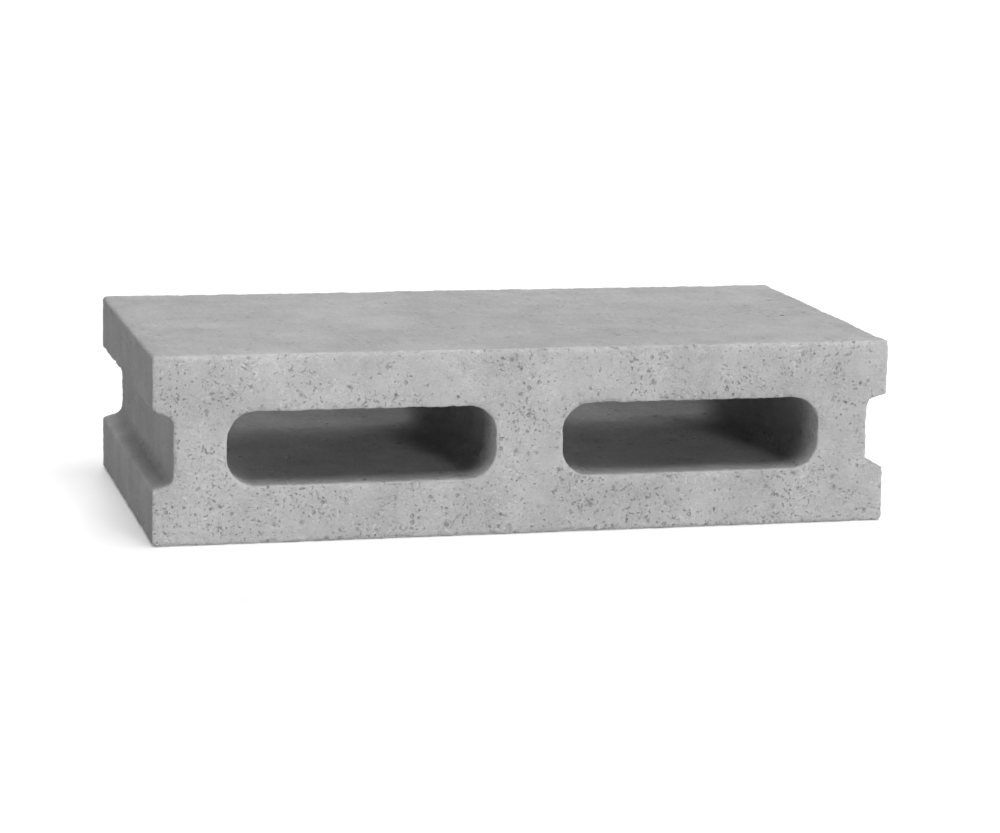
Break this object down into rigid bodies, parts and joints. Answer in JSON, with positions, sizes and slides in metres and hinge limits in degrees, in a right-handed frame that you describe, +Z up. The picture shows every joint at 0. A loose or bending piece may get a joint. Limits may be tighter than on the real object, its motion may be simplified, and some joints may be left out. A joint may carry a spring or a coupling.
{
  "type": "hollow concrete partition block",
  "caption": "Hollow concrete masonry block for thin partition walls, with long round-cornered cores through it and a mortar groove in each end.",
  "frame": {"origin": "centre of the large face that the block lies on", "axes": "+X along the length of the block, +Y along the cores from the wide mouths to the narrow ones, +Z up through the thickness"},
  "size_m": [0.4, 0.2, 0.1],
  "materials": {
    "concrete": "dry vibration-pressed concrete, light neutral grey, fine-grained and matt, with small pores and slightly worn arrises"
  },
  "bodies": {
    "root": {"concrete_block": "concrete"}
  },
  "joints": []
}
